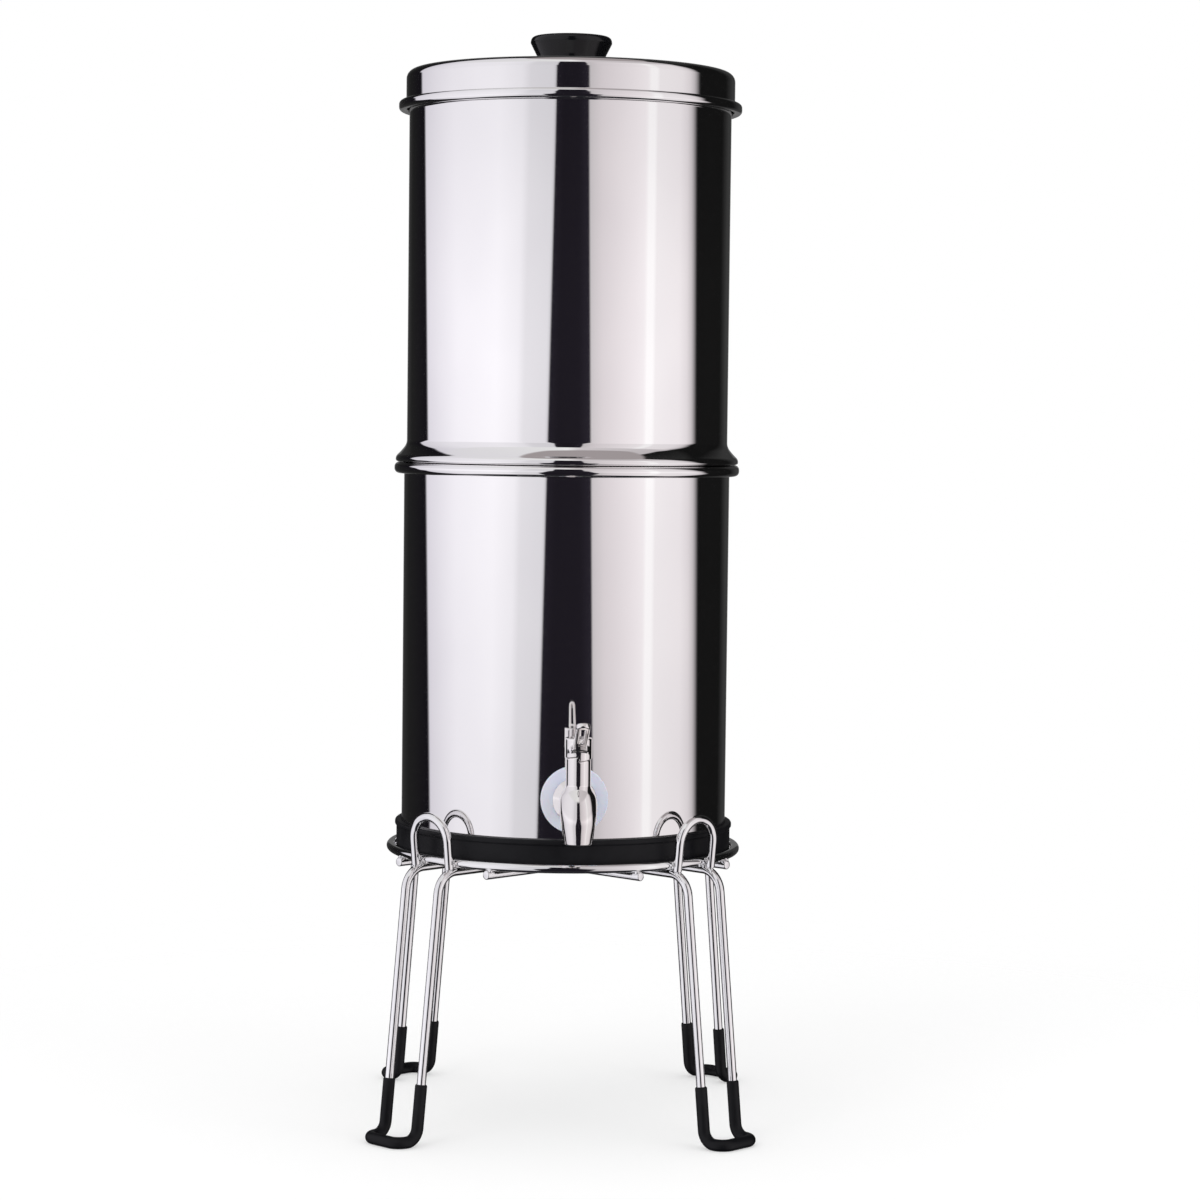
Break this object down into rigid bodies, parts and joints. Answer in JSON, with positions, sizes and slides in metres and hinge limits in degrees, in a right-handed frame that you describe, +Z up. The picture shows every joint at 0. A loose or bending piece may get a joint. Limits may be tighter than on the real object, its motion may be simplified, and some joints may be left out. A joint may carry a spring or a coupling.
{
  "type": "gravity water filter with tap",
  "caption": "Two stacked round steel tanks with a black-knobbed lid and a cam-lever tap, standing in a wire stand with looped legs; water filters down by gravity.",
  "frame": {"origin": "on the tanks' axis at the level of the worktop, between the four feet", "axes": "+Z up along the tanks' axis, -Y the way the tap points, +X to the right of someone facing the tap"},
  "size_m": [0.2684, 0.3235, 0.7324],
  "materials": {
    "polished_steel": "mirror polished stainless sheet",
    "tap_steel": "cast stainless, polished by hand",
    "bright_steel": "turned stainless",
    "chrome_wire": "electroplated bright round wire",
    "gloss_black": "moulded gloss black phenolic",
    "black_rubber": "matt black rubber",
    "clear_silicone": "milky translucent silicone",
    "carbon_block": "fine matt pressed carbon",
    "black_plastic": "moulded, satin",
    "white_plastic": "moulded food-grade nylon"
  },
  "bodies": {
    "stand": {"stand_ring": "chrome_wire", "stand_grid": "chrome_wire", "stand_leg_1": "chrome_wire", "stand_leg_2": "chrome_wire", "stand_leg_3": "chrome_wire", "stand_leg_4": "chrome_wire", "stand_hoop_1": "chrome_wire", "stand_hoop_2": "chrome_wire", "stand_hoop_3": "chrome_wire", "stand_hoop_4": "chrome_wire", "foot_sleeve_1": "black_rubber", "foot_sleeve_2": "black_rubber", "foot_sleeve_3": "black_rubber", "foot_sleeve_4": "black_rubber"},
    "lower_vessel": {"lower_tank": "polished_steel", "base_boot": "black_rubber", "tap_body": "tap_steel", "tap_outer_washer": "clear_silicone", "tap_inner_washer": "clear_silicone", "tap_nut": "tap_steel"},
    "upper_vessel": {"upper_tank": "polished_steel", "filter_body_1": "carbon_block", "filter_cap_1": "black_plastic", "filter_stem_1": "black_plastic", "filter_seal_1": "black_rubber", "filter_nut_1": "white_plastic", "filter_body_2": "carbon_block", "filter_cap_2": "black_plastic", "filter_stem_2": "black_plastic", "filter_seal_2": "black_rubber", "filter_nut_2": "white_plastic", "plug_1": "black_rubber", "plug_nut_1": "white_plastic", "plug_2": "black_rubber", "plug_nut_2": "white_plastic"},
    "lid": {"lid_shell": "polished_steel", "lid_knob": "gloss_black", "knob_washer": "clear_silicone", "knob_screw": "bright_steel"},
    "tap_stem": {"tap_stem": "bright_steel", "tap_seal": "black_rubber", "tap_o_ring": "black_rubber"},
    "tap_handle": {"tap_handle": "tap_steel"}
  },
  "joints": [
    {"name": "lower_tank_lift", "type": "slide", "parent": "stand", "child": "lower_vessel", "axis": [0, 0, 1], "range_m": [0, 0.05]},
    {"name": "upper_tank_lift", "type": "slide", "parent": "lower_vessel", "child": "upper_vessel", "axis": [0, 0, 1], "range_m": [0, 0.06]},
    {"name": "lid_lift", "type": "slide", "parent": "upper_vessel", "child": "lid", "axis": [0, 0, 1], "range_m": [0, 0.06]},
    {"name": "stem_lift", "type": "slide", "parent": "lower_vessel", "child": "tap_stem", "axis": [0, 0, 1], "range_m": [0, 0.0016]},
    {"name": "handle_turn", "type": "hinge", "parent": "tap_stem", "child": "tap_handle", "pos_m": [0, -0.145, 0.26], "axis": [0, 0, 1], "range_deg": [0, 90]}
  ],
  "couplings": [
    {"joint": "stem_lift", "follows": "handle_turn", "m_per_rad": 0.0010186}
  ]
}
